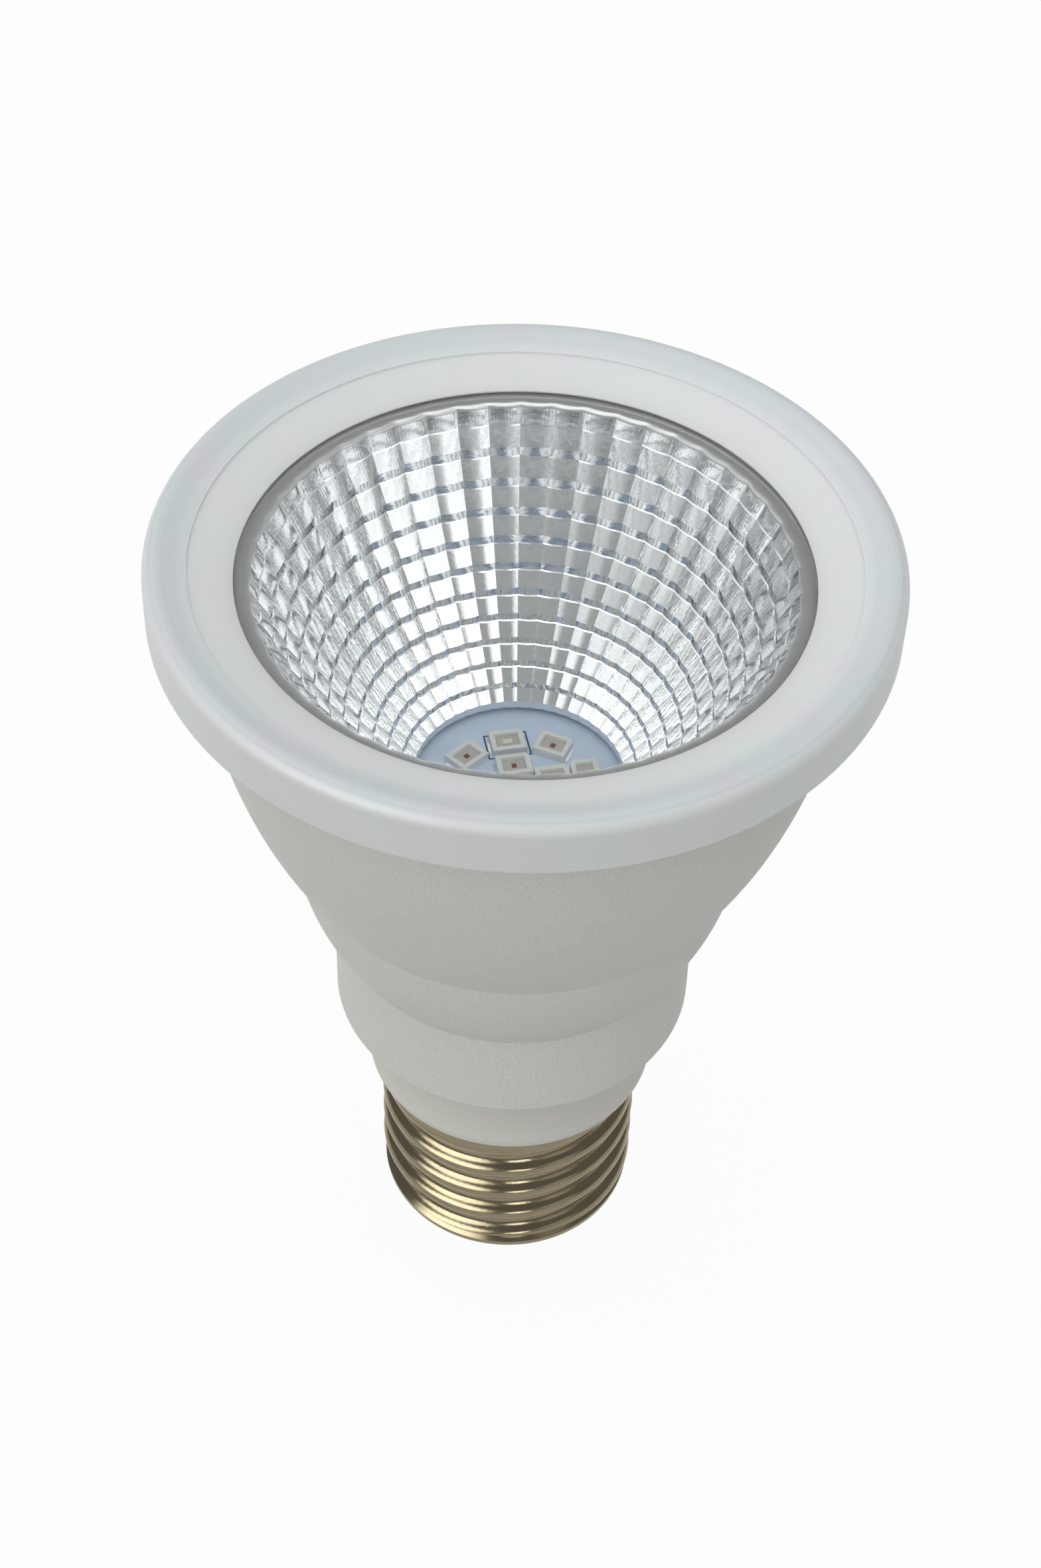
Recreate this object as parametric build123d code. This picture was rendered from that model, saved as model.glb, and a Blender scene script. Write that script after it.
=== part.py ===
from build123d import *
from math import cos, hypot, pi, radians, sin
import os

# Grow light bulb: a sealed reflector lamp on a screw cap. Sizes are in millimetres.
# The lamp's axis is Z with the cap down, and the origin is the tip of the centre contact.

# Screw cap: a rolled metal shell, its glass insulator and the contact at the tip
thread_radius = 13.1
thread_depth = 0.9
thread_pitch = 3.629
thread_foot_gap = 0.2
thread_foot_sink = 0.08
thread_front_crest = 13.0
shell_height = 19.6
shell_wall = 0.35
shell_band_height = 2.6
shell_band_proud = 0.1
shell_lip_inset = 0.2
shell_lip_height = 1.1
shell_lip_round = 0.8
shell_run_in = 1.5
shell_turn_in = 2.3
insulator_height = 4.5
insulator_tip_radius = 5.6
insulator_wire_hole_radius = 2.2
insulator_flange_gap = 0.65
insulator_flange_height = 1.8
contact_height = 1.8
contact_radius = 4.8
contact_flat_radius = 2.8
contact_edge = 0.7

# Driver case: the moulded neck between cap and housing, with a cup above and a spigot below
neck_height = 9.65
collar_flare = 0.78
neck_straight_height = 4.4
collar_overhang = 1.18
collar_edge = 0.6
neck_wall = 1.6
case_ledge = 1.3
case_wall = 1.4
case_step_height = 1.5
spigot_gap = 2.55
spigot_wall = 1.4
guide_width = 1.0
guide_depth = 1.6
guide_height = 12.0

# Housing: one cast shell of three stacked lobes, closed by a floor behind the LED board
barrel_height = 10.5
barrel_wall = 2.5
barrel_edge_round = 0.5
waist_height = 11.8
waist_flare = 3.92
waist_bulge = 0.72
bowl_height = 28.17
bowl_flare = 7.38
bowl_bulge = 1.92
rim_height = 3.0
rim_ledge = 2.1
floor_thickness = 4.0
cavity_wall_at_floor = 2.22
cavity_wall_at_top = 3.6

# Front: clear lens and the soft ring that seals it to the housing
lens_seat_wall = 2.5
lens_thickness = 0.5
ring_skirt_wall = 2.0
ring_skirt_height = 2.75
ring_skirt_round = 0.4
ring_edge_height = 3.28
ring_edge_round = 1.2
ring_step_inset = 3.8
ring_step_height = 0.2
ring_lip_cover = 3.0
ring_lip_thickness = 0.15

# Reflector: columns and rows of facets, each one ridged towards the axis
reflector_rim_width = 1.45
throat_margin = 7.07
reflector_height = 25.65
reflector_bulge = 1.3
reflector_wall = 1.0
back_spans = 4
reflector_flange = 1.0
facet_columns = 50
facet_rows = 11
facet_first_edge_angle = 92.5
facet_last_to_first = 0.6
facet_flute_share = 0.016
facet_row_ridge = 0.3
rim_round = 0.4
rim_proud = 0.05
throat_lip = 0.8
throat_foot_height = 0.55
throat_foot_inset = 0.25

# LED board on its thermal pad, with two screws into the floor
board_margin = 2.0
board_thickness = 1.5
pad_thickness = 0.3
pad_margin = 0.4
board_turn = 12.8
screw_inset = 2.6
screw_shank_radius = 1.2
screw_shank_length = 4.6
screw_head_radius = 1.9
screw_head_height = 1.3

# LEDs: white packages with a sunk window and a small die in it
led_length = 3.2
led_width = 2.6
led_height = 0.8
led_window_length = 2.3
led_window_width = 1.7
led_window_depth = 0.35
led_window_taper = 20
led_corner_cut = 0.35
red_die_size = 0.45
blue_die_length = 0.9
blue_die_width = 0.6
die_height = 0.12
blue_led_offset = 5.4
corner_led_offset = 4.15
corner_led_turn = 34
side_led_offset = 6.45
inner_led_offset = 2.15
inner_side_led_offset = 3.3

# Driver: a board standing on the lamp's axis with its parts on both faces
driver_thickness = 1.2
driver_edge_gap = 0.6
driver_height_above_step = 17.0
driver_tab_gap = 0.75
driver_tab_rise = 5.05
input_capacitor_radius = 4.0
input_capacitor_height = 12.0
input_capacitor_x = -5.5
output_capacitor_radius = 3.15
output_capacitor_height = 11.0
output_capacitor_x = 4.5
capacitor_height_above_step = 3.0
capacitor_groove = 0.4
bridge_size = (4.7, 2.4, 4.0)
bridge_x = -5.0
chip_size = (4.9, 1.6, 3.9)
chip_x = 0.5
chip_leads = 4
chip_lead_length = 1.0
chip_lead_width = 0.45
surface_part_drop = 4.0
fuse_radius = 1.2
fuse_length = 6.0
fuse_x = 6.0
transformer_width = 13.0
transformer_depth = 6.0
transformer_leg = 3.6
transformer_yoke = 2.4
transformer_window = 3.2
winding_play = 0.2
wire_radius = 0.6
output_wire_inset = 0.7
output_wire_overlap = 3.5
input_wire_overlap = 5.0
neutral_wire_inset = 1.6
neutral_wire_bend = 1.6
neutral_wire_above_insulator = 0.9
wire_tail = 0.5

# Clearances between pieces that go together
slip = 0.1
screw_play = 0.15
wire_play = 0.3
edge_match = 0.01

# Levels along the axis, each one built on the level below it
shell_bottom = contact_height + insulator_height
shell_top = shell_bottom + shell_height
neck_top = shell_top + neck_height
barrel_top = neck_top + barrel_height
waist_top = barrel_top + waist_height
bowl_top = waist_top + bowl_height
rim_top = bowl_top + rim_height
lens_bottom = rim_top - lens_thickness
throat_level = lens_bottom - reflector_height
board_top = throat_level - throat_foot_height
pad_top = board_top - board_thickness
floor_top = pad_top - pad_thickness
floor_bottom = floor_top - floor_thickness
case_step = neck_top + case_step_height
case_top = floor_bottom - slip
driver_top = case_step + driver_height_above_step
insulator_top = shell_bottom + shell_wall + insulator_flange_height
spigot_bottom = insulator_top + spigot_gap
driver_bottom = spigot_bottom + driver_tab_rise

# Radii from the thread outwards: the cap, the driver case, the housing and its front
thread_root = thread_radius - thread_depth
shell_bore = thread_root - shell_wall
shell_mouth_radius = thread_root - shell_turn_in
shell_band_radius = thread_radius + shell_band_proud
shell_lip_radius = thread_radius - shell_lip_inset
insulator_flange_radius = shell_bore - insulator_flange_gap
spigot_radius = shell_bore - slip
spigot_inside = spigot_radius - spigot_wall
collar_radius = shell_band_radius + collar_overhang
neck_radius = collar_radius - collar_flare
case_radius = neck_radius + case_ledge
case_inside = case_radius - case_wall
case_bore = case_radius + slip
barrel_radius = case_bore + barrel_wall
waist_top_radius = barrel_radius + waist_flare
bowl_top_radius = waist_top_radius + bowl_flare
rim_radius = bowl_top_radius + rim_ledge
cavity_floor_radius = waist_top_radius - cavity_wall_at_floor
cavity_top_radius = rim_radius - cavity_wall_at_top
seat_radius = rim_radius - lens_seat_wall
lens_radius = seat_radius - slip
skirt_radius = rim_radius + slip
ring_radius = skirt_radius + ring_skirt_wall
ring_step_radius = ring_radius - ring_step_inset
ring_lip_radius = lens_radius - ring_lip_cover
reflector_mouth_radius = ring_lip_radius - reflector_rim_width
board_radius = cavity_floor_radius - board_margin
screw_circle_radius = board_radius - screw_inset
reflector_throat_radius = board_radius - throat_margin
rim_bore = reflector_mouth_radius * (1 - facet_flute_share) - rim_proud

# Half widths of the driver board and the places of its wires
driver_face = driver_thickness / 2
driver_half_width = case_inside - driver_edge_gap
driver_tab_half_width = spigot_inside - driver_tab_gap
output_wire_x = driver_half_width - output_wire_inset
neutral_wire_x = neutral_wire_inset - driver_tab_half_width


def turned(outline):
    """Revolve a closed outline of (radius, height) about the lamp's axis."""
    return revolve(Plane.XZ * make_face(outline), Axis.Z)


def turned_polygon(*points):
    return turned(Polyline(*points, close=True))


def rod(radius, bottom, top, x=0.0, y=0.0):
    return Pos(x, y, bottom) * extrude(Circle(radius), top - bottom)


def save(shape, name):
    export_step(shape, f"parts/{name}.step")


def circles_at(shape, radius, level):
    """Circular edges of one radius at one height."""
    return shape.edges().filter_by(
        lambda edge: edge.geom_type == GeomType.CIRCLE
        and abs(edge.radius - radius) < edge_match
        and abs(edge.center().Z - level) < edge_match
    )


def thread_ridge():
    """One rounded ridge of the rolled thread, swept up a helix from lip to band."""
    start = shell_bottom + shell_lip_height / 2
    end = shell_top - shell_band_height / 2
    front = -90
    crest = shell_bottom + thread_front_crest
    start_angle = front + 360 * (start - crest) / thread_pitch
    half = (thread_pitch - thread_foot_gap) / 2
    sunk_root = thread_root - thread_foot_sink
    rise = thread_radius - sunk_root
    foot = (sunk_root, -half)
    flank = (sunk_root + rise / 2, -half / 2)
    other_flank = (flank[0], -flank[1])
    other_foot = (foot[0], -foot[1])
    outline = TangentArc(foot, flank, tangent=(0, 1))
    outline += ThreePointArc(flank, (thread_radius, 0), other_flank)
    outline += TangentArc(other_foot, other_flank, tangent=(0, -1))
    outline += Line(other_foot, foot)
    path = Helix(thread_pitch, end - start, thread_root)
    ridge = sweep(Plane.XZ * make_face(outline), path=path, is_frenet=True)
    return Pos(0, 0, start) * Rot(0, 0, start_angle) * ridge


def screw_shell():
    """Rolled sheet shell: plain band, right-hand thread and a lip turned in round the insulator."""
    band_foot = shell_top - shell_band_height
    lip_top = shell_bottom + shell_lip_height
    run_in_top = lip_top + shell_run_in
    clear_radius = 2 * thread_radius
    clear_bottom = shell_bottom - thread_pitch
    clear_top = shell_top + thread_pitch
    shell = rod(thread_root, shell_bottom, shell_top) + thread_ridge()
    shell -= turned_polygon(
        (0, shell_bottom),
        (thread_root - shell_wall, shell_bottom),
        (shell_band_radius, run_in_top),
        (clear_radius, run_in_top),
        (clear_radius, clear_bottom),
        (0, clear_bottom),
    )
    shell -= rod(clear_radius, shell_top, clear_top)
    shell += turned_polygon(
        (shell_bore, shell_top),
        (shell_band_radius, shell_top),
        (shell_band_radius, band_foot),
        (shell_bore, band_foot - (shell_band_radius - shell_bore)),
    )
    lip = turned_polygon(
        (shell_bore, shell_bottom),
        (shell_lip_radius, shell_bottom),
        (shell_lip_radius, lip_top),
        (shell_bore, lip_top + shell_lip_radius - shell_bore),
    )
    lip_edge = circles_at(lip, shell_lip_radius, shell_bottom)
    shell += fillet(lip_edge, shell_lip_round)
    inside = shell_bottom + shell_wall
    return shell - turned_polygon(
        (0, clear_bottom),
        (shell_mouth_radius, clear_bottom),
        (shell_mouth_radius, inside),
        (shell_bore, inside),
        (shell_bore, clear_top),
        (0, clear_top),
    )


def cap_insulator():
    inside = shell_bottom + shell_wall
    return turned_polygon(
        (insulator_wire_hole_radius, contact_height),
        (insulator_tip_radius, contact_height),
        (shell_mouth_radius - slip, shell_bottom),
        (shell_mouth_radius - slip, inside),
        (insulator_flange_radius, inside),
        (insulator_flange_radius, insulator_top),
        (insulator_wire_hole_radius, insulator_top),
    )


def centre_contact():
    edge_foot = contact_height - contact_edge
    outline = Line((0, 0), (contact_flat_radius, 0))
    outline += TangentArc((contact_flat_radius, 0), (contact_radius, edge_foot), tangent=(1, 0))
    outline += Polyline(
        (contact_radius, edge_foot),
        (contact_radius, contact_height),
        (0, contact_height),
        (0, 0),
    )
    return turned(outline)


def driver_case():
    """Cup in the housing, flared neck below it and a spigot inside the screw shell."""
    flare_top = neck_top - neck_straight_height
    collar_top = shell_top + collar_edge
    neck_inside = neck_radius - neck_wall
    outline = Polyline(
        (case_inside, case_top),
        (case_radius, case_top),
        (case_radius, neck_top),
        (neck_radius, neck_top),
        (neck_radius, flare_top),
    )
    outline += TangentArc((neck_radius, flare_top), (collar_radius, collar_top), tangent=(0, -1))
    outline += Polyline(
        (collar_radius, collar_top),
        (collar_radius, shell_top),
        (spigot_radius, shell_top),
        (spigot_radius, spigot_bottom),
        (spigot_inside, spigot_bottom),
        (spigot_inside, shell_top),
        (neck_inside, shell_top + neck_wall),
        (neck_inside, case_step),
        (case_inside, case_step),
        (case_inside, case_top),
    )
    case = turned(outline)
    cup = rod(case_radius - case_wall / 2, case_step, case_step + guide_height)
    guide_start = driver_half_width + slip - guide_depth
    for side in (-1, 1):
        for face in (-1, 1):
            rib = Box(2 * guide_depth, guide_width, guide_height)
            rib_x = side * (guide_start + guide_depth)
            rib_y = face * (driver_face + slip + guide_width / 2)
            case += Pos(rib_x, rib_y, case_step + guide_height / 2) * rib & cup
    return case


def housing():
    barrel_foot = (barrel_radius, neck_top)
    barrel_head = (barrel_radius, barrel_top)
    waist_head = (waist_top_radius, waist_top)
    bowl_head = (bowl_top_radius, bowl_top)
    flange_seat = lens_bottom - reflector_flange
    outline = Line(barrel_foot, barrel_head)
    outline += SagittaArc(barrel_head, waist_head, -waist_bulge)
    outline += SagittaArc(waist_head, bowl_head, -bowl_bulge)
    outline += Polyline(
        bowl_head,
        (rim_radius, bowl_top),
        (rim_radius, rim_top),
        (seat_radius, rim_top),
        (seat_radius, flange_seat),
        (cavity_top_radius, flange_seat),
        (cavity_floor_radius, floor_top),
        (0, floor_top),
        (0, floor_bottom),
        (case_bore, floor_bottom),
        (case_bore, neck_top),
        barrel_foot,
    )
    shell = turned(outline)
    shell = fillet(circles_at(shell, barrel_radius, neck_top), barrel_edge_round)
    for side in (-1, 1):
        tap_bottom = board_top - screw_shank_length - slip
        shell -= rod(screw_shank_radius + slip / 2, tap_bottom, floor_top, *screw_place(side))
        shell -= rod(wire_radius + wire_play, floor_bottom, floor_top, *output_wire_place(side))
    return shell


def front_lens():
    return turned_polygon(
        (0, lens_bottom),
        (lens_radius, lens_bottom),
        (lens_radius, rim_top),
        (0, rim_top),
    )


def seal_ring():
    """Soft ring: skirt round the rim and a dished top that thins to a lip over the lens."""
    skirt_bottom = rim_top - ring_skirt_height
    edge_top = rim_top + ring_edge_height
    lip_top = rim_top + ring_lip_thickness
    dish = (edge_top - lip_top) / (ring_radius - ring_lip_radius)
    step_top = lip_top + dish * (ring_step_radius - ring_lip_radius)
    ring = turned_polygon(
        (skirt_radius, skirt_bottom),
        (ring_radius, skirt_bottom),
        (ring_radius, edge_top),
        (ring_step_radius, step_top),
        (ring_step_radius, step_top - ring_step_height),
        (ring_lip_radius, lip_top),
        (ring_lip_radius, rim_top),
        (skirt_radius, rim_top),
    )
    ring = fillet(circles_at(ring, ring_radius, edge_top), ring_edge_round)
    return fillet(circles_at(ring, ring_radius, skirt_bottom), ring_skirt_round)


def reflector_point(share):
    """Radius and height on the reflector's curve, from mouth (0) to throat (1)."""
    run = reflector_mouth_radius - reflector_throat_radius
    drop = reflector_height - rim_round - throat_lip
    length = hypot(run, drop)
    swell = reflector_bulge * 4 * share * (1 - share)
    radius = reflector_mouth_radius - run * share + swell * drop / length
    height = lens_bottom - rim_round - drop * share - swell * run / length
    return radius, height


def facet_levels():
    """Shares along the curve: the edges of the rows and the ridge in the middle of each."""
    last = facet_rows - 1
    sizes = [1 - (1 - facet_last_to_first) * row / last for row in range(facet_rows)]
    total = sum(sizes)
    levels = [(0.0, 0.0)]
    share = 0.0
    for size in sizes:
        levels.append((share + size / total / 2, facet_row_ridge))
        share += size / total
        levels.append((share, 0.0))
    return levels


def facet_ring(radius, height):
    """Cross-section of the facets: column edges outside, ridges nearer to the axis."""
    step = pi / facet_columns
    first = radians(facet_first_edge_angle)
    points = []
    for index in range(2 * facet_columns):
        reach = radius * (1 - facet_flute_share * (index % 2))
        angle = first + index * step
        points.append(Vector(reach * cos(angle), reach * sin(angle), height))
    return points


def facet_band(upper, lower):
    """Flat faces between two cross-sections of the facets."""
    count = len(upper)
    faces = []
    for index in range(count):
        after = (index + 1) % count
        corners = (upper[index], upper[after], lower[after], lower[index])
        faces.append(Face(Wire.make_polygon(corners)))
    return faces


def level_circle(radius, level):
    return Wire.make_circle(radius, Plane((0, 0, level)))


def reflector():
    """Moulded cone: rounded rim, faceted hollow, flange under the lens and a foot on the LED board."""
    rings = []
    for share, ridge in facet_levels():
        radius, height = reflector_point(share)
        rings.append(facet_ring(radius - ridge, height))
    rings.append([Vector(point.X, point.Y, throat_level) for point in rings[-1]])
    faces = []
    for upper, lower in zip(rings, rings[1:]):
        faces += facet_band(upper, lower)

    rim_bottom = lens_bottom - rim_round
    flange_bottom = lens_bottom - reflector_flange
    foot_inside = reflector_throat_radius + throat_foot_inset
    foot_outside = reflector_throat_radius + reflector_wall
    first = reflector_flange / reflector_height
    shares = [first + (1 - first) * index / back_spans for index in range(back_spans + 1)]
    back = [reflector_point(share) for share in shares]
    back = [(radius + reflector_wall, height) for radius, height in back]
    outline = TangentArc((rim_bore, rim_bottom), (rim_bore + rim_round, lens_bottom), tangent=(0, 1))
    outline += Polyline(
        (rim_bore + rim_round, lens_bottom),
        (lens_radius, lens_bottom),
        (lens_radius, flange_bottom),
        (back[0][0], flange_bottom),
        back[0],
    )
    outline += Spline(*back)
    outline += Polyline(
        back[-1],
        (foot_outside, board_top),
        (foot_inside, board_top),
        (foot_inside, throat_level),
    )
    faces += Shell.revolve(Plane.XZ * outline.wire(), 360, Axis.Z).faces()
    faces.append(Face(Wire.make_polygon(rings[0]), [level_circle(rim_bore, rim_bottom)]))
    faces.append(Face(level_circle(foot_inside, throat_level), [Wire.make_polygon(rings[-1])]))
    return Solid(Shell(faces))


def screw_place(side):
    return 0.0, side * screw_circle_radius


def output_wire_place(side):
    return side * output_wire_x, driver_face + wire_radius


def drilled_disc(radius, bottom, top):
    """A round plate with clearance for the board's screws and the two output wires."""
    plate = rod(radius, bottom, top)
    for side in (-1, 1):
        plate -= rod(screw_shank_radius + screw_play, bottom, top, *screw_place(side))
        plate -= rod(wire_radius + wire_play, bottom, top, *output_wire_place(side))
    return plate


def board_screws():
    screws = []
    for side in (-1, 1):
        x, y = screw_place(side)
        head = rod(screw_head_radius, board_top, board_top + screw_head_height, x, y)
        head = fillet(head.edges().group_by(Axis.Z)[-1], screw_head_height / 2)
        screws.append(head + rod(screw_shank_radius, board_top - screw_shank_length, board_top, x, y))
    return Compound(children=screws)


def led_places():
    """Where each LED sits: kind, place on the board's own axes and turn of its length."""
    places = [("blue", 0, side * blue_led_offset, 0) for side in (1, -1)]
    for across in (1, -1):
        for along in (1, -1):
            turn = -corner_led_turn * across * along
            places.append(("red", across * corner_led_offset, along * corner_led_offset, turn))
    places += [("red", side * side_led_offset, 0, 90) for side in (1, -1)]
    places += [("red", 0, side * inner_led_offset, 0) for side in (1, -1)]
    places += [("red", side * inner_side_led_offset, 0, 0) for side in (1, -1)]
    return places


def led_package():
    body = extrude(Rectangle(led_length, led_width), led_height)
    corner = body.edges().filter_by(Axis.Z).sort_by(lambda edge: edge.center().X + edge.center().Y)[-1]
    body = chamfer(corner, led_corner_cut)
    window = Pos(0, 0, led_height) * Rectangle(led_window_length, led_window_width)
    return body - extrude(window, -led_window_depth, taper=led_window_taper)


def led_dies(kind, length, width):
    floor = board_top + led_height - led_window_depth
    die = extrude(Rectangle(length, width), die_height)
    dies = []
    for place_kind, x, y, turn in led_places():
        if place_kind == kind:
            dies.append(Pos(0, 0, floor) * Rot(0, 0, board_turn) * Pos(x, y) * Rot(0, 0, turn) * die)
    return Compound(children=dies)


def driver_board():
    upper_height = driver_top - case_step
    upper = Box(2 * driver_half_width, driver_thickness, upper_height)
    tab_height = case_step - driver_bottom
    tab = Box(2 * driver_tab_half_width, driver_thickness, tab_height)
    board = Pos(0, 0, case_step + upper_height / 2) * upper
    return board + Pos(0, 0, driver_bottom + tab_height / 2) * tab


def capacitor(radius, height, x):
    """Upright can with a crimped groove near its foot, lying against the driver board."""
    foot = case_step + capacitor_height_above_step
    groove_level = 4 * capacitor_groove
    can = extrude(Circle(radius), height)
    can = fillet(can.edges(), capacitor_groove)
    groove = Pos(0, 0, groove_level) * Torus(radius, capacitor_groove)
    return Pos(x, driver_face + radius, foot) * (can - groove)


def bridge_rectifier():
    width, depth, height = bridge_size
    level = case_step - surface_part_drop
    block = Pos(bridge_x, driver_face + depth / 2, level) * Box(width, depth, height)
    return chamfer(block.edges().group_by(Axis.Y)[-1], depth / 8)


def driver_chip():
    width, depth, height = chip_size
    level = case_step - surface_part_drop
    block = Pos(chip_x, driver_face + depth / 2, level) * Box(width, depth, height)
    block = chamfer(block.edges().group_by(Axis.Y)[-1], depth / 8)
    lead = Box(chip_lead_width, depth / 4, height + 2 * chip_lead_length)
    pitch = width / chip_leads
    for index in range(chip_leads):
        x = chip_x + (index - (chip_leads - 1) / 2) * pitch
        block += Pos(x, driver_face + depth / 8, level) * lead
    return block


def fuse_resistor():
    level = case_step - surface_part_drop - fuse_length / 2
    barrel = extrude(Circle(fuse_radius), fuse_length)
    barrel = fillet(barrel.edges(), fuse_radius / 3)
    return Pos(fuse_x, driver_face + fuse_radius, level) * barrel


def transformer():
    """Ferrite core with two windows, and the winding round its middle leg."""
    window_height = transformer_window * 2
    core_height = window_height + 2 * transformer_yoke
    winding_half = transformer_leg / 2 + transformer_window - winding_play
    centre_y = -driver_face - winding_half
    place = Pos(0, centre_y, (case_step + driver_top) / 2)
    core = Box(transformer_width, transformer_depth, core_height)
    window_x = (transformer_leg + transformer_window) / 2
    for side in (-1, 1):
        core -= Pos(side * window_x, 0, 0) * Box(transformer_window, transformer_depth, window_height)
    winding_height = window_height - 2 * winding_play
    coil = Box(2 * winding_half, 2 * winding_half, winding_height)
    coil = fillet(coil.edges().filter_by(Axis.Z), transformer_window / 2)
    leg_room = 2 * winding_play
    coil -= Box(transformer_leg + leg_room, transformer_depth + leg_room, winding_height)
    return place * core, place * coil


def output_wire(side):
    """Wire from the driver board's corner straight up through the floor to the LED board."""
    x, y = output_wire_place(side)
    return rod(wire_radius, driver_top - output_wire_overlap, board_top + wire_tail, x, y)


def live_wire():
    top = driver_bottom + input_wire_overlap
    return rod(wire_radius, contact_height, top, 0, driver_face + wire_radius)


def neutral_wire():
    """Wire down the driver board, bent outwards under the spigot to the screw shell."""
    y = driver_face + wire_radius
    top = driver_bottom + input_wire_overlap
    level = insulator_top + neutral_wire_above_insulator
    reach = (shell_bore**2 - (y + wire_radius) ** 2) ** 0.5
    corners = [(neutral_wire_x, y, top), (neutral_wire_x, y, level), (-reach + slip, y, level)]
    path = FilletPolyline(*corners, radius=neutral_wire_bend)
    return sweep(Plane(corners[0], z_dir=(0, 0, -1)) * Circle(wire_radius), path=path)


os.makedirs("parts", exist_ok=True)

save(centre_contact(), "centre_contact")
save(cap_insulator(), "cap_insulator")
save(screw_shell(), "screw_shell")
save(driver_case(), "driver_case")
save(driver_board(), "driver_board")
save(bridge_rectifier(), "bridge_rectifier")
save(driver_chip(), "driver_chip")
save(fuse_resistor(), "fuse_resistor")
save(capacitor(input_capacitor_radius, input_capacitor_height, input_capacitor_x), "input_capacitor")
save(capacitor(output_capacitor_radius, output_capacitor_height, output_capacitor_x), "output_capacitor")
transformer_core, transformer_winding = transformer()
save(transformer_core, "transformer_core")
save(transformer_winding, "transformer_winding")
save(live_wire(), "live_wire")
save(neutral_wire(), "neutral_wire")
save(output_wire(1), "positive_wire")
save(output_wire(-1), "negative_wire")
save(housing(), "housing")
save(drilled_disc(board_radius - pad_margin, floor_top, pad_top), "thermal_pad")
save(drilled_disc(board_radius, pad_top, board_top), "led_board")
save(board_screws(), "board_screws")

package = led_package()
counts = {"red": 0, "blue": 0}
for kind, led_x, led_y, led_turn in led_places():
    counts[kind] += 1
    seat = Pos(0, 0, board_top) * Rot(0, 0, board_turn) * Pos(led_x, led_y) * Rot(0, 0, led_turn)
    save(seat * package, f"{kind}_led_{counts[kind]}")
save(led_dies("red", red_die_size, red_die_size), "red_led_dies")
save(led_dies("blue", blue_die_length, blue_die_width), "blue_led_dies")

save(reflector(), "reflector")
save(front_lens(), "front_lens")
save(seal_ring(), "seal_ring")
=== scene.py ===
from math import cos, hypot, pi, radians, sin

import bpy
from mathutils import Matrix, Vector


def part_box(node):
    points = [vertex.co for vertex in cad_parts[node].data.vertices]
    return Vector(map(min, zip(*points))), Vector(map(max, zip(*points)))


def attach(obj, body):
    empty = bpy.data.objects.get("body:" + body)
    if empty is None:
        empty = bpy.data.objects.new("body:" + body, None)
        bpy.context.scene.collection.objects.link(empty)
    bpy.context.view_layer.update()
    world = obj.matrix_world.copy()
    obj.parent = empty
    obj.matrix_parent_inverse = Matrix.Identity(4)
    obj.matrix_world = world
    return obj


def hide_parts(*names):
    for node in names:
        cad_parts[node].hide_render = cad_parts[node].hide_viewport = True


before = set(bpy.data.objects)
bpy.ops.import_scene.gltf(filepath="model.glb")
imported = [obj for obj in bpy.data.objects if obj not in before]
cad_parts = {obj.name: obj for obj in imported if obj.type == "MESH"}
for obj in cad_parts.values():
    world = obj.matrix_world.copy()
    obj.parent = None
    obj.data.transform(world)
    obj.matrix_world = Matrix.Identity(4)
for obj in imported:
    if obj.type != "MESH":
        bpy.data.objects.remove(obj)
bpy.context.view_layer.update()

# Screw shell: brass sheet rolled into a right-hand thread, nickel-plated and bright.
# It is pressed over the neck's spigot, and its foot is turned in round the insulator.
MM = 0.001
SCREEN_GAMMA = 2.2
GRAIN_DETAIL = 3.0
GRAIN_LOW = 0.3
GRAIN_HIGH = 0.7
GLOSS_SPREAD = 0.1


def paint(red, green, blue):
    """A colour as it is seen (0 to 255), as the linear value that a shader takes."""
    return tuple((value / 255) ** SCREEN_GAMMA for value in (red, green, blue)) + (1.0,)


def shaded(colour, factor):
    """A linear colour made darker or lighter, and never brighter than white."""
    return tuple(min(1, value * factor) for value in colour[:3]) + (1.0,)


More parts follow.
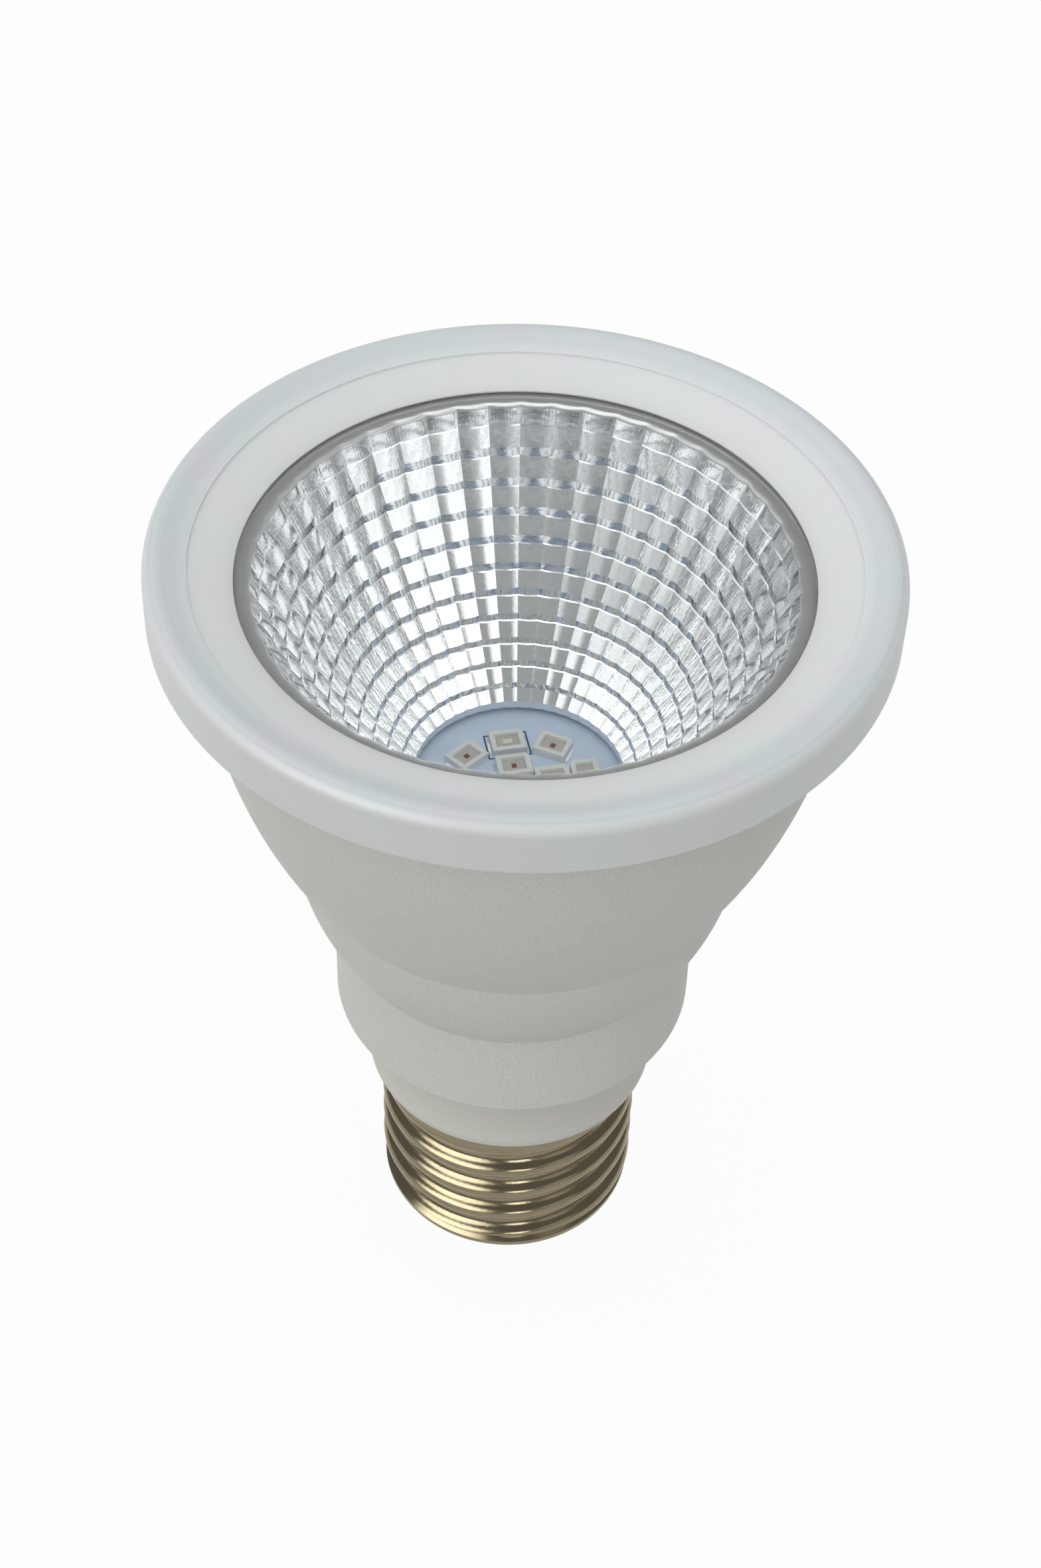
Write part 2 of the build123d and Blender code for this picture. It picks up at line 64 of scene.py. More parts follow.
def make_finish(name, colour, roughness, grain, shade, relief, metallic=0.0):
    """A finish whose colour and gloss vary with a grain; grain and relief are in millimetres."""
    finish = bpy.data.materials.new(name)
    finish.use_nodes = True
    tree = finish.node_tree
    surface = tree.nodes["Principled BSDF"]
    surface.inputs["Metallic"].default_value = metallic
    place = tree.nodes.new("ShaderNodeTexCoord")
    place.name = "place"
    noise = tree.nodes.new("ShaderNodeTexNoise")
    noise.inputs["Scale"].default_value = 1 / (grain * MM)
    noise.inputs["Detail"].default_value = GRAIN_DETAIL
    tree.links.new(place.outputs["Object"], noise.inputs["Vector"])
    tint = tree.nodes.new("ShaderNodeValToRGB")
    tint.name = "tint"
    darkest, lightest = tint.color_ramp.elements
    darkest.position = GRAIN_LOW
    darkest.color = shaded(paint(*colour), 1 - shade)
    lightest.position = GRAIN_HIGH
    lightest.color = shaded(paint(*colour), 1 + shade)
    tree.links.new(noise.outputs["Fac"], tint.inputs["Fac"])
    tree.links.new(tint.outputs["Color"], surface.inputs["Base Color"])
    gloss = tree.nodes.new("ShaderNodeMapRange")
    gloss.inputs["To Min"].default_value = roughness * (1 - GLOSS_SPREAD)
    gloss.inputs["To Max"].default_value = roughness * (1 + GLOSS_SPREAD)
    tree.links.new(noise.outputs["Fac"], gloss.inputs["Value"])
    tree.links.new(gloss.outputs["Result"], surface.inputs["Roughness"])
    bump = tree.nodes.new("ShaderNodeBump")
    bump.inputs["Strength"].default_value = 1.0
    bump.inputs["Distance"].default_value = relief * MM
    tree.links.new(noise.outputs["Fac"], bump.inputs["Height"])
    tree.links.new(bump.outputs["Normal"], surface.inputs["Normal"])
    return finish


def dress(node, finish):
    """Give a solid its finish."""
    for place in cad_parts[node].material_slots:
        place.material = finish


dress("screw_shell", make_finish(
    "nickel_plate", (132, 123, 101), metallic=1.0,
    roughness=0.16, grain=1.6, shade=0.05, relief=0.01,
))

# Insulator and centre contact: black glass cast into the shell's mouth, and a tinned brass
# button soldered over the live wire at its tip.
dress("cap_insulator", make_finish(
    "black_glass", (18, 18, 20), roughness=0.18, grain=2.0, shade=0.25, relief=0.02,
))
dress("centre_contact", make_finish(
    "tinned_button", (190, 184, 170), metallic=1.0,
    roughness=0.34, grain=0.5, shade=0.08, relief=0.02,
))

# Driver case: one silver-grey plastic moulding. Its flared neck sits on the shell, and its cup
# is pushed up into the housing.
dress("driver_case", make_finish(
    "neck_plastic", (198, 197, 190), roughness=0.45, grain=0.25, shade=0.03, relief=0.006,
))

# Driver: a small board standing in the case, with its parts soldered to both faces.
# Nothing of it shows once the lamp is closed.
dress("driver_board", make_finish(
    "driver_laminate", (176, 146, 92), roughness=0.5, grain=0.35, shade=0.12, relief=0.01,
))
chip_epoxy = make_finish(
    "chip_epoxy", (30, 30, 32), roughness=0.55, grain=0.15, shade=0.2, relief=0.01,
)
for node in ("bridge_rectifier", "driver_chip"):
    dress(node, chip_epoxy)
dress("fuse_resistor", make_finish(
    "fuse_coating", (70, 112, 84), roughness=0.35, grain=0.6, shade=0.1, relief=0.02,
))
sleeve_film = make_finish(
    "capacitor_sleeve", (26, 34, 58), roughness=0.25, grain=0.8, shade=0.1, relief=0.005,
)
for node in ("input_capacitor", "output_capacitor"):
    dress(node, sleeve_film)
dress("transformer_core", make_finish(
    "ferrite", (56, 56, 60), roughness=0.6, grain=0.2, shade=0.2, relief=0.02,
))
dress("transformer_winding", make_finish(
    "winding_tape", (226, 188, 76), roughness=0.35, grain=0.7, shade=0.08, relief=0.01,
))

# Wires: four plastic-sleeved leads, two from the driver down to the cap and two up to the LEDs.
# Their ends are soldered.
black_sleeve = make_finish(
    "black_wire_sleeve", (24, 24, 26), roughness=0.4, grain=0.4, shade=0.15, relief=0.01,
)
for node in ("live_wire", "negative_wire"):
    dress(node, black_sleeve)
dress("neutral_wire", make_finish(
    "white_wire_sleeve", (226, 226, 222), roughness=0.4, grain=0.4, shade=0.04, relief=0.01,
))
dress("positive_wire", make_finish(
    "red_wire_sleeve", (184, 40, 34), roughness=0.4, grain=0.4, shade=0.1, relief=0.01,
))

# Housing: one die-cast aluminium shell of three lobes, sprayed with a dull silver lacquer.
# The lacquer's flakes leave a fine grain.
silver_lacquer = make_finish(
    "silver_lacquer", (207, 209, 203), roughness=0.48, grain=0.22, shade=0.07, relief=0.012,
)
lacquer = silver_lacquer.node_tree.nodes["Principled BSDF"]
lacquer.inputs["Specular IOR Level"].default_value = 0.1
dress("housing", silver_lacquer)

# LED board: a metal-core disc under white solder mask, screwed down on a soft grey pad.
# The mask's colour is painted pale blue and lighter: painted bluish light.
# A thin printed outline is drawn round each blue LED.
BOARD_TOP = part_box("led_board")[1].z / MM
BOARD_TURN = radians(12.8)
OUTLINE_LENGTH = 4.15
OUTLINE_WIDTH = 3.2
OUTLINE_LINE = 0.15
OUTLINE_LIFT = 0.012
BLUE_LED_OFFSET = 5.4
PLATE_EDGE = radians(30)
dress("thermal_pad", make_finish(
    "pad_rubber", (168, 170, 178), roughness=0.75, grain=0.3, shade=0.06, relief=0.02,
))
# Painted light: the white mask is coloured blue-white and lighter, standing for the bluish light
# that falls on it.
dress("led_board", make_finish(
    "solder_mask_painted_bluish_light", (214, 230, 252), roughness=0.3, grain=1.5, shade=0.02, relief=0.004,
))
dress("board_screws", make_finish(
    "screw_zinc", (188, 188, 190), metallic=1.0,
    roughness=0.3, grain=0.3, shade=0.06, relief=0.01,
))


def on_board(along, across, place, turn):
    """A point given on an LED's own axes, put where that LED sits on the turned board."""
    x = place[0] + along * cos(turn) - across * sin(turn)
    y = place[1] + along * sin(turn) + across * cos(turn)
    board_x = x * cos(BOARD_TURN) - y * sin(BOARD_TURN)
    board_y = x * sin(BOARD_TURN) + y * cos(BOARD_TURN)
    return board_x, board_y


def new_piece(name, points, faces):
    """A smooth piece of points in millimetres and the faces between them."""
    mesh = bpy.data.meshes.new(name)
    mesh.from_pydata([tuple(value * MM for value in point) for point in points], [], faces)
    mesh.shade_smooth()
    piece = bpy.data.objects.new(name, mesh)
    bpy.context.scene.collection.objects.link(piece)
    return piece


def lay_plates(name, plates):
    """One piece of many small plates, each given as rings of points from its middle outwards."""
    points, faces = [], []
    for rings in plates:
        count = len(rings[0])
        first = len(points)
        points += [point for ring in rings for point in ring]
        for ring in range(len(rings) - 1):
            low, high = first + ring * count, first + (ring + 1) * count
            for here in range(count):
                after = (here + 1) % count
                faces.append((low + here, high + here, high + after, low + after))
    piece = new_piece(name, points, faces)
    piece.data.set_sharp_from_angle(angle=PLATE_EDGE)
    return piece


def board_rectangle(length, width, height, place, turn):
    """A rectangle round an LED's middle at one height over the board."""
    ring = []
    for along, across in ((-1, -1), (1, -1), (1, 1), (-1, 1)):
        x, y = on_board(along * length / 2, across * width / 2, place, turn)
        ring.append((x, y, BOARD_TOP + height))
    return ring


outlines = []
for side in (1, -1):
    place = (0, side * BLUE_LED_OFFSET)
    inside = (OUTLINE_LENGTH - 2 * OUTLINE_LINE, OUTLINE_WIDTH - 2 * OUTLINE_LINE)
    outlines.append([
        board_rectangle(*inside, 0, place, 0),
        board_rectangle(*inside, OUTLINE_LIFT, place, 0),
        board_rectangle(OUTLINE_LENGTH, OUTLINE_WIDTH, OUTLINE_LIFT, place, 0),
        board_rectangle(OUTLINE_LENGTH, OUTLINE_WIDTH, 0, place, 0),
    ])
printed_outline = lay_plates("printed_outline", outlines)
printed_outline.data.materials.append(make_finish(
    "outline_ink", (30, 62, 108), roughness=0.5, grain=0.2, shade=0.12, relief=0.002,
))
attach(printed_outline, "root")

# LEDs: white moulded packages soldered flat on the board. A clear grey gel fills the floor of each
# sunk window round its die, and a bright solder fillet stands at both ends.
LED_LENGTH = 3.2
WINDOW_FLOOR = 0.45
WINDOW_LENGTH = 2.3
WINDOW_WIDTH = 1.7
GEL_MIDDLE = 0.02
GEL_DEPTH = 0.02
GEL_CLIMB = 0.12
GEL_MARGIN = 0.16
SOLDER_REACH = 0.26
SOLDER_WIDTH = 2.1
SOLDER_CLIMB = 0.4
SOLDER_WAIST = (0.3, 0.4)
SOLDER_END = (0.6, 0.3)
SOLDER_FULL_SHARE = 0.4
CORNER_LED_OFFSET = 4.15
CORNER_LED_TURN = radians(34)
SIDE_LED_OFFSET = 6.45
INNER_LED_OFFSET = 2.15
INNER_SIDE_LED_OFFSET = 3.3
led_places = [((0, side * BLUE_LED_OFFSET), 0) for side in (1, -1)]
for across in (1, -1):
    for along in (1, -1):
        corner = (across * CORNER_LED_OFFSET, along * CORNER_LED_OFFSET)
        led_places.append((corner, -CORNER_LED_TURN * across * along))
led_places += [((side * SIDE_LED_OFFSET, 0), pi / 2) for side in (1, -1)]
led_places += [((0, side * INNER_LED_OFFSET), 0) for side in (1, -1)]
led_places += [((side * INNER_SIDE_LED_OFFSET, 0), 0) for side in (1, -1)]
package_white = make_finish(
    "package_white", (240, 241, 238), roughness=0.35, grain=0.3, shade=0.03, relief=0.005,
)
for node in sorted(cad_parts):
    if "_led_" in node and not node.endswith("dies"):
        dress(node, package_white)
dress("red_led_dies", make_finish(
    "red_die", (124, 72, 52), roughness=0.3, grain=0.2, shade=0.1, relief=0.005,
))
dress("blue_led_dies", make_finish(
    "blue_die", (232, 230, 214), roughness=0.3, grain=0.2, shade=0.05, relief=0.005,
))


def gel_rings(place, turn):
    """The gel of one window: flat in the middle, and climbing a little at the walls."""
    rings = [board_rectangle(GEL_MIDDLE, GEL_MIDDLE, WINDOW_FLOOR + GEL_DEPTH, place, turn)]
    for margins, climb in ((4, GEL_DEPTH), (2, GEL_CLIMB / 3), (1, GEL_CLIMB)):
        length = WINDOW_LENGTH - margins * GEL_MARGIN
        width = WINDOW_WIDTH - margins * GEL_MARGIN
        rings.append(board_rectangle(length, width, WINDOW_FLOOR + climb, place, turn))
    return rings


def fillet_rings(place, turn, end):
    """One hollow fillet, from the package down to the board, drawn in at both sides."""
    waist_reach, waist_climb = SOLDER_WAIST
    end_reach, end_climb = SOLDER_END
    levels = []
    for out, climb in ((0, SOLDER_CLIMB), (waist_reach, SOLDER_CLIMB * waist_climb), (1, 0)):
        ring = []
        for across in (-0.5, -SOLDER_FULL_SHARE, SOLDER_FULL_SHARE, 0.5):
            full = abs(across) < 0.5
            along = end * (LED_LENGTH / 2 + SOLDER_REACH * (out if full else out * end_reach))
            x, y = on_board(along, across * SOLDER_WIDTH * end, place, turn)
            ring.append((x, y, BOARD_TOP + (climb if full else climb * end_climb)))
        levels.append(ring)
    return levels


window_gel = lay_plates("window_gel", [gel_rings(place, turn) for place, turn in led_places])
window_gel.data.materials.append(make_finish(
    "clear_gel", (196, 196, 186), roughness=0.2, grain=0.3, shade=0.04, relief=0.004,
))
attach(window_gel, "root")
solder_fillets = lay_plates("solder_fillets", [
    fillet_rings(place, turn, end) for place, turn in led_places for end in (1, -1)
])
solder_fillets.data.materials.append(make_finish(
    "bright_solder", (226, 227, 228), metallic=0.6,
    roughness=0.3, grain=0.2, shade=0.06, relief=0.01,
))
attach(solder_fillets, "root")

# Reflector: one plastic moulding, metallised bright. Its columns swell towards the axis, and each
# row has a tall sloping face over a short steep one. Its rounded satin rim is clamped under the
# lens.
LENS_GAP = 0.05
REFLECTOR_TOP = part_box("reflector")[1].z / MM - LENS_GAP
REFLECTOR_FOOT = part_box("reflector")[0].z / MM
FLANGE_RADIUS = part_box("reflector")[1].x / MM
MOUTH_RADIUS = 23.8
THROAT_RADIUS = 10.13
RIM_BORE = 23.95
RIM_WIDTH = 0.9
RIM_DROP = 0.45
RIM_STEPS = 8
THROAT_LIP = 0.8
FOOT_HEIGHT = 0.55
FOOT_INSIDE = 10.38
FLANGE_HEIGHT = 1.0
CURVE_SWELL = 1.3
BACK_WALL = 1.0
BACK_SHARES = (1.0, 0.8, 0.6, 0.4, 0.2)
COLUMNS = 50
PER_COLUMN = 8
AROUND = COLUMNS * PER_COLUMN
COLUMN_SWELL = 0.008
FIRST_EDGE = radians(92.5)
ROWS = 10
LAST_TO_FIRST = 0.69
FIRST_ROW_SHARE = 0.052
LAST_ROW_SHARE = 0.957
CREASE_SHARE = 0.04
CREASE_WIDTH = 0.07
RIDGE_SHARE = 0.66
RIDGE_REACH = 0.33
FACET_EDGE = radians(12)
throat_level = REFLECTOR_FOOT + FOOT_HEIGHT
facet_top = REFLECTOR_TOP - RIM_DROP
facet_drop = facet_top - throat_level - THROAT_LIP


def wrap_rings(name, rings):
    """A smooth skin through rings of points with one count, each ring closed on itself."""
    count = len(rings[0])
    faces = []
    for ring in range(len(rings) - 1):
        low, high = ring * count, (ring + 1) * count
        for here in range(count):
            after = (here + 1) % count
            faces.append((low + here, low + after, high + after, high + here))
    return new_piece(name, [point for ring in rings for point in ring], faces)


def reflector_curve(share):
    """Radius and height from the mouth (0) to the throat (1)."""
    run = MOUTH_RADIUS - THROAT_RADIUS
    length = hypot(run, facet_drop)
    swell = CURVE_SWELL * 4 * share * (1 - share)
    radius = MOUTH_RADIUS - run * share + swell * facet_drop / length
    return radius, facet_top - facet_drop * share - swell * run / length


def facet_ring(radius, height, swell):
    """One level of the facets: each column swells towards the axis between its edges."""
    ring = []
    for index in range(AROUND):
        across = (index % PER_COLUMN) / PER_COLUMN
        reach = radius * (1 - swell * 4 * across * (1 - across))
        turn = FIRST_EDGE + 2 * pi * index / AROUND
        ring.append((reach * cos(turn), reach * sin(turn), height))
    return ring


def facet_level(share, reach):
    """The facets at one share of the curve, reaching in from it by some millimetres."""
    radius, height = reflector_curve(share)
    return facet_ring(radius - reach, height, COLUMN_SWELL)


rings = [facet_ring(FLANGE_RADIUS, REFLECTOR_TOP, 0)]
for step in range(RIM_STEPS + 1):
    lean = pi / 2 * step / RIM_STEPS
    radius = RIM_BORE + RIM_WIDTH * (1 - sin(lean))
    rings.append(facet_ring(radius, facet_top + RIM_DROP * cos(lean), COLUMN_SWELL * sin(lean)))
first_facet_ring = len(rings)
row_sizes = [1 - (1 - LAST_TO_FIRST) * row / (ROWS - 1) for row in range(ROWS)]
row_scale = (LAST_ROW_SHARE - FIRST_ROW_SHARE) / sum(row_sizes)
row_top = FIRST_ROW_SHARE
for size in row_sizes:
    row_share = size * row_scale
    rings.append(facet_level(row_top, 0))
    rings.append(facet_level(row_top + CREASE_SHARE * row_share, CREASE_WIDTH))
    rings.append(facet_level(row_top + RIDGE_SHARE * row_share, RIDGE_REACH))
    row_top += row_share
rings.append(facet_level(LAST_ROW_SHARE, 0))
rings.append(facet_level(1.0, RIDGE_REACH / 2))
rings.append(facet_ring(THROAT_RADIUS - RIDGE_REACH / 2, throat_level, COLUMN_SWELL))
last_facet_ring = len(rings) - 1
rings.append(facet_ring(FOOT_INSIDE, throat_level, 0))
rings.append(facet_ring(FOOT_INSIDE, REFLECTOR_FOOT, 0))
rings.append(facet_ring(THROAT_RADIUS + BACK_WALL, REFLECTOR_FOOT, 0))
for back_share in (*BACK_SHARES, FLANGE_HEIGHT / facet_drop):
    radius, height = reflector_curve(back_share)
    rings.append(facet_ring(radius + BACK_WALL, height, 0))
rings.append(facet_ring(radius + BACK_WALL, REFLECTOR_TOP - FLANGE_HEIGHT, 0))
rings.append(facet_ring(FLANGE_RADIUS, REFLECTOR_TOP - FLANGE_HEIGHT, 0))
rings.append(rings[0])
bright_cone = wrap_rings("faceted_reflector", rings)
bright_cone.data.set_sharp_from_angle(angle=FACET_EDGE)
bright_cone.data.materials.append(make_finish(
    "mirror_film", (242, 243, 244), metallic=1.0,
    roughness=0.06, grain=0.4, shade=0.02, relief=0.006,
))
bright_cone.data.materials.append(make_finish(
    "satin_rim", (224, 226, 224), metallic=0.45,
    roughness=0.17, grain=0.2, shade=0.05, relief=0.004,
))
for face in bright_cone.data.polygons:
    on_facets = first_facet_ring - 1 <= face.index // AROUND <= last_facet_ring
    face.material_index = 0 if on_facets else 1
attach(bright_cone, "root")
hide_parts("reflector")

# Lens: a thin clear disc dropped into the housing's seat over the reflector's rim.
# The ring's lip holds it down.
lens_glass = make_finish(
    "clear_lens", (250, 252, 252), roughness=0.0, grain=6.0, shade=0.005, relief=0.0,
)
glass = lens_glass.node_tree.nodes["Principled BSDF"]
glass.inputs["Transmission Weight"].default_value = 1.0
glass.inputs["IOR"].default_value = 1.49
dress("front_lens", lens_glass)

# Seal ring: one moulding of milky silicone rubber, stretched over the housing's rim, with a thin
# lip over the lens. Outside the rim its colour is painted darker, as painted shade where no bright
# metal backs the translucent silicone.
RING_INSIDE = 25.0
RING_OUTSIDE = 33.0
# Painted shade across the ring: the colour stays full near the lip, darkens towards the outer wall
# and lightens a little at its edge.
PAINTED_SHADE_AT_INSIDE = -0.1
PAINTED_SHADE_AT_OUTSIDE = 0.9
PAINTED_SHADE_STOPS = (
    (0.48, (1.0, 1.0, 1.0, 1)),
    (0.6, (0.92, 0.945, 0.955, 1)),
    (0.88, (0.82, 0.845, 0.87, 1)),
    (1.0, (0.96, 0.96, 0.95, 1)),
)
STREAKS_PER_MM = 1.4
STREAK_REACH = 0.2


def feed(tree, value, entry):
    """Lead a node's output into an entry, or set the entry to a fixed value."""
    if isinstance(value, bpy.types.NodeSocket):
        tree.links.new(value, entry)
    else:
        entry.default_value = value


def reckon(tree, operation, *values):
    """The output of a Math node that works on fixed numbers and other nodes' outputs."""
    node = tree.nodes.new("ShaderNodeMath")
    node.operation = operation
    for value, entry in zip(values, node.inputs):
        feed(tree, value, entry)
    return node.outputs[0]


def mix_colours(tree, share, first, second, blend_type="MIX"):
    """The output of a Mix node between two colours."""
    node = tree.nodes.new("ShaderNodeMix")
    node.data_type = "RGBA"
    node.blend_type = blend_type
    feed(tree, share, node.inputs["Factor"])
    feed(tree, first, node.inputs["A"])
    feed(tree, second, node.inputs["B"])
    return node.outputs["Result"]


ring_silicone = make_finish(
    "milky_silicone", (217, 216, 219), roughness=0.38, grain=7.0, shade=0.0, relief=0.02,
)
ring_tree = ring_silicone.node_tree
silicone = ring_tree.nodes["Principled BSDF"]
ring_tint = ring_tree.nodes["tint"]
ring_tint.color_ramp.elements[1].color = paint(212, 220, 218)
flat_place = ring_tree.nodes.new("ShaderNodeVectorMath")
flat_place.operation = "MULTIPLY"
flat_place.inputs[1].default_value = (1 / MM, 1 / MM, 0)
ring_tree.links.new(ring_tree.nodes["place"].outputs["Object"], flat_place.inputs[0])
from_axis = ring_tree.nodes.new("ShaderNodeVectorMath")
from_axis.operation = "LENGTH"
ring_tree.links.new(flat_place.outputs["Vector"], from_axis.inputs[0])
across_ring = ring_tree.nodes.new("ShaderNodeMapRange")
across_ring.inputs["From Min"].default_value = RING_INSIDE
across_ring.inputs["From Max"].default_value = RING_OUTSIDE
across_ring.inputs["To Min"].default_value = PAINTED_SHADE_AT_INSIDE
across_ring.inputs["To Max"].default_value = PAINTED_SHADE_AT_OUTSIDE
ring_tree.links.new(from_axis.outputs["Value"], across_ring.inputs["Value"])
streaks = ring_tree.nodes.new("ShaderNodeTexNoise")
streaks.noise_dimensions = "1D"
streaks.inputs["Scale"].default_value = STREAKS_PER_MM
ring_tree.links.new(from_axis.outputs["Value"], streaks.inputs["W"])
waver = reckon(
    ring_tree, "MULTIPLY_ADD", streaks.outputs["Fac"], STREAK_REACH, across_ring.outputs["Result"]
)
# Painted shade that darkens the silicone's colour outside the rim, wavering in fine rings.
painted_shade = ring_tree.nodes.new("ShaderNodeValToRGB")
stops = painted_shade.color_ramp.elements
stops[0].position, stops[0].color = PAINTED_SHADE_STOPS[0]
stops[1].position, stops[1].color = PAINTED_SHADE_STOPS[-1]
for position, colour in PAINTED_SHADE_STOPS[1:-1]:
    stops.new(position).color = colour
ring_tree.links.new(waver, painted_shade.inputs["Fac"])
# The silicone's tint multiplied by the painted shade.
tint_with_painted_shade = mix_colours(
    ring_tree, 1.0, ring_tint.outputs["Color"], painted_shade.outputs["Color"], "MULTIPLY"
)
ring_tree.links.new(tint_with_painted_shade, silicone.inputs["Base Color"])
silicone.inputs["Subsurface Weight"].default_value = 0.35
silicone.inputs["Subsurface Radius"].default_value = (1.0, 0.95, 1.0)
silicone.inputs["Subsurface Scale"].default_value = 1.5 * MM
dress("seal_ring", ring_silicone)

# Studio: a paper floor that the camera, metal and glass see as white, and one weak soft light
# overhead. The surround is white behind the lamp, and light and dark as a room is where the
# facets and the cap mirror it.
FLOOR_REACH = 3.0
FLOOR_GLOW = 1.06
FLOOR_WHITE_SHARE = 0.9
FEWER_THAN_ONE = 0.5
ROOM_LEVEL = 0.7
ROOM_PATCHES = (
    ((0, 0.9, 0.43), 34, 48, 0.25),
    ((-0.85, 0.1, 0.6), 18, 34, 1.2),
    ((-0.5, -0.25, 0.82), 14, 30, 1.4),
    ((0, -0.05, 1), 20, 28, 2.2),
    ((0, 0.45, 0.89), 6, 16, 0.08),
    ((0, 0.7, 0.716), 10, 20, 0.08),
    ((-0.08, -0.8, 0.56), 20, 32, 0.42),
    ((-0.03, -0.55, 0.83), 12, 20, 0.42),
    ((0.62, -0.45, 0.66), 16, 28, 1.5),
    ((0.75, -0.55, 0.36), 18, 28, 1.6),
)
WINDOW_LEVEL = 0.32
WINDOW_PATCHES = (
    ((-0.66, -0.68, 0.32), 15, 34, 5.0),
    ((0.14, -0.98, 0.22), 5, 11, 4.8),
    ((0.6, -0.75, 0.3), 6, 20, 0.9),
)
HAZE_LEVEL = 1.14
HAZE_PATCHES = (
    ((0.1, 0.97, 0.2), 25, 65, 0.6),
    ((0.95, 0, 0.1), 20, 60, 0.35),
)
SOFT_BOX_SIZE = 0.5
SOFT_BOX_POWER = 0.3
SOFT_BOX_PLACE = Vector((-0.12, -0.08, 0.78))
SOFT_BOX_TARGET = Vector((0, 0, 0.06))
floor_mesh = bpy.data.meshes.new("floor")
floor_corners = [
    (x * FLOOR_REACH, y * FLOOR_REACH, 0) for x, y in ((-1, -1), (1, -1), (1, 1), (-1, 1))
]
floor_mesh.from_pydata(floor_corners, [], [(0, 1, 2, 3)])
floor = bpy.data.objects.new("floor", floor_mesh)
bpy.context.scene.collection.objects.link(floor)
floor_white = bpy.data.materials.new("floor_white")
floor_white.use_nodes = True
floor_tree = floor_white.node_tree
paper = floor_tree.nodes["Principled BSDF"]
paper.inputs["Base Color"].default_value = (0.33, 0.33, 0.32, 1)
paper.inputs["Roughness"].default_value = 0.9
glow = floor_tree.nodes.new("ShaderNodeEmission")
glow.inputs["Strength"].default_value = FLOOR_GLOW
seen = floor_tree.nodes.new("ShaderNodeLightPath").outputs
mirrored = reckon(floor_tree, "MAXIMUM", seen["Is Glossy Ray"], seen["Is Transmission Ray"])
in_sight = reckon(floor_tree, "MAXIMUM", seen["Is Camera Ray"], mirrored)
white_share = reckon(floor_tree, "MULTIPLY", in_sight, FLOOR_WHITE_SHARE)
floor_look = floor_tree.nodes.new("ShaderNodeMixShader")
floor_tree.links.new(white_share, floor_look.inputs["Fac"])
floor_tree.links.new(paper.outputs["BSDF"], floor_look.inputs[1])
floor_tree.links.new(glow.outputs["Emission"], floor_look.inputs[2])
floor_out = floor_tree.nodes["Material Output"]
floor_tree.links.new(floor_look.outputs["Shader"], floor_out.inputs["Surface"])
floor_mesh.materials.append(floor_white)

surround = bpy.data.worlds.new("surround")
bpy.context.scene.world = surround
surround.use_nodes = True
sky = surround.node_tree
sky.nodes.clear()
sky_out = sky.nodes.new("ShaderNodeOutputWorld")
back = sky.nodes.new("ShaderNodeBackground")
sky.links.new(back.outputs["Background"], sky_out.inputs["Surface"])
heading = sky.nodes.new("ShaderNodeTexCoord").outputs["Generated"]


def paint_surround(level, patches):
    """A grey surround with darker and brighter patches laid over it one after another.

    A patch has a direction, the angles from it within which it is full and beyond which it is
    gone, and its grey level.
    """
    colour = (level, level, level, 1)
    for toward, inner, outer, patch_level in patches:
        aim = sky.nodes.new("ShaderNodeVectorMath")
        aim.operation = "DOT_PRODUCT"
        aim.inputs[1].default_value = Vector(toward).normalized()
        sky.links.new(heading, aim.inputs[0])
        soft = sky.nodes.new("ShaderNodeMapRange")
        soft.interpolation_type = "SMOOTHSTEP"
        soft.inputs["From Min"].default_value = cos(radians(outer))
        soft.inputs["From Max"].default_value = cos(radians(inner))
        sky.links.new(aim.outputs["Value"], soft.inputs["Value"])
        patch_colour = (patch_level, patch_level, patch_level, 1)
        colour = mix_colours(sky, soft.outputs["Result"], colour, patch_colour)
    return colour


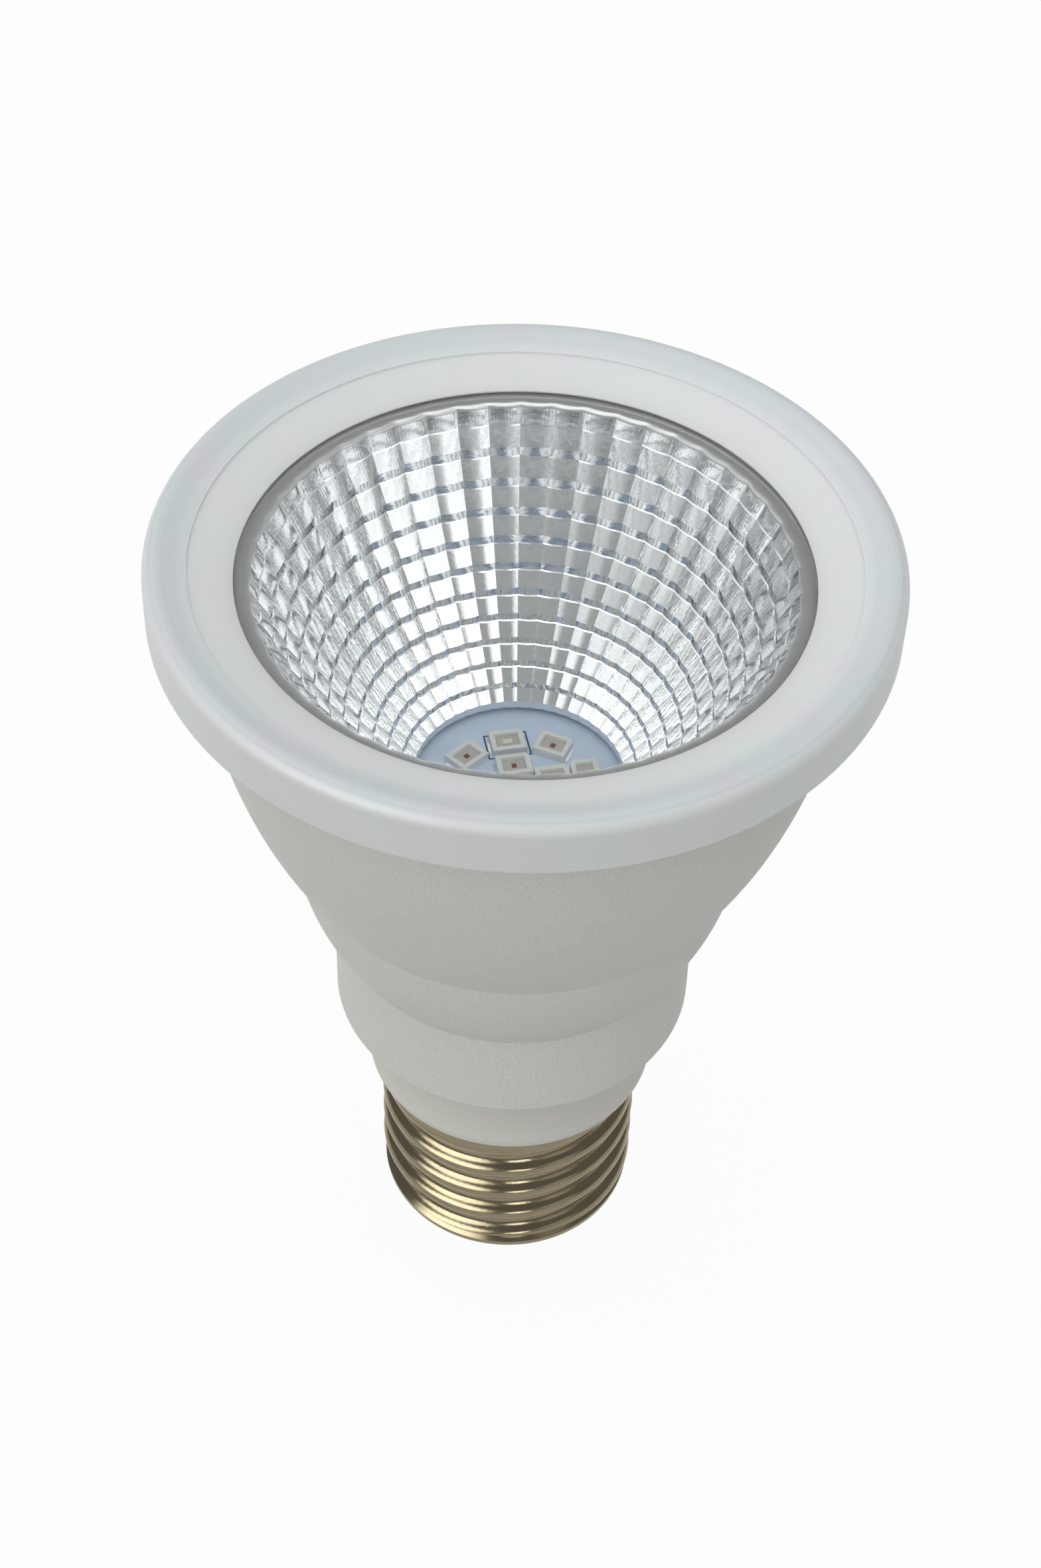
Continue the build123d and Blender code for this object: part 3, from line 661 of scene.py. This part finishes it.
# Rays that leave the reflector through the lens see the room, other reflections see the window,
# and diffuse rays see the haze. A ray that has met nothing but clear glass sees white.
room = paint_surround(ROOM_LEVEL, ROOM_PATCHES)
window = paint_surround(WINDOW_LEVEL, WINDOW_PATCHES)
haze = paint_surround(HAZE_LEVEL, HAZE_PATCHES)
path = sky.nodes.new("ShaderNodeLightPath").outputs
bounces = reckon(sky, "ADD", path["Glossy Depth"], path["Diffuse Depth"])
straight = reckon(sky, "LESS_THAN", bounces, FEWER_THAN_ONE)
past_lens = mix_colours(sky, path["Is Transmission Ray"], window, room)
softened = mix_colours(sky, path["Is Diffuse Ray"], past_lens, haze)
sky.links.new(mix_colours(sky, straight, softened, (1, 1, 1, 1)), back.inputs["Color"])

soft_box = bpy.data.lights.new("soft_box", "AREA")
soft_box.size = SOFT_BOX_SIZE
soft_box.energy = SOFT_BOX_POWER
lamp = bpy.data.objects.new("soft_box", soft_box)
lamp.location = SOFT_BOX_PLACE
lamp.rotation_euler = (SOFT_BOX_TARGET - SOFT_BOX_PLACE).to_track_quat("-Z", "Y").to_euler()
lamp.visible_glossy = False
bpy.context.scene.collection.objects.link(lamp)

# Camera: above the front of the lamp, looking down into the reflector as the photograph does.
# Its place and focal length were solved from the lamp's coaxial circles.
SENSOR_HEIGHT = 36
FOCAL_PIXELS = 4164.72
PHOTO_HEIGHT = 2362
CLIP_START = 0.01
CAMERA_PLACE = (0, -0.180230, 0.247710)
CAMERA_RIGHT = Vector((0.999394, 0.024460, 0.024783))
CAMERA_UP = Vector((-0.034814, 0.715764, 0.697474))
CAMERA_TOWARD = Vector((0.000678, 0.697914, -0.716182))
camera_lens = bpy.data.cameras.new("camera")
camera_lens.sensor_fit = "VERTICAL"
camera_lens.sensor_height = SENSOR_HEIGHT
camera_lens.lens = SENSOR_HEIGHT * FOCAL_PIXELS / PHOTO_HEIGHT
camera_lens.clip_start = CLIP_START
camera = bpy.data.objects.new("camera", camera_lens)
camera_axes = Matrix((CAMERA_RIGHT, CAMERA_UP, -CAMERA_TOWARD)).transposed().to_4x4()
camera.matrix_world = Matrix.Translation(CAMERA_PLACE) @ camera_axes
bpy.context.scene.collection.objects.link(camera)
bpy.context.scene.camera = camera
bpy.context.scene.view_settings.view_transform = "Standard"
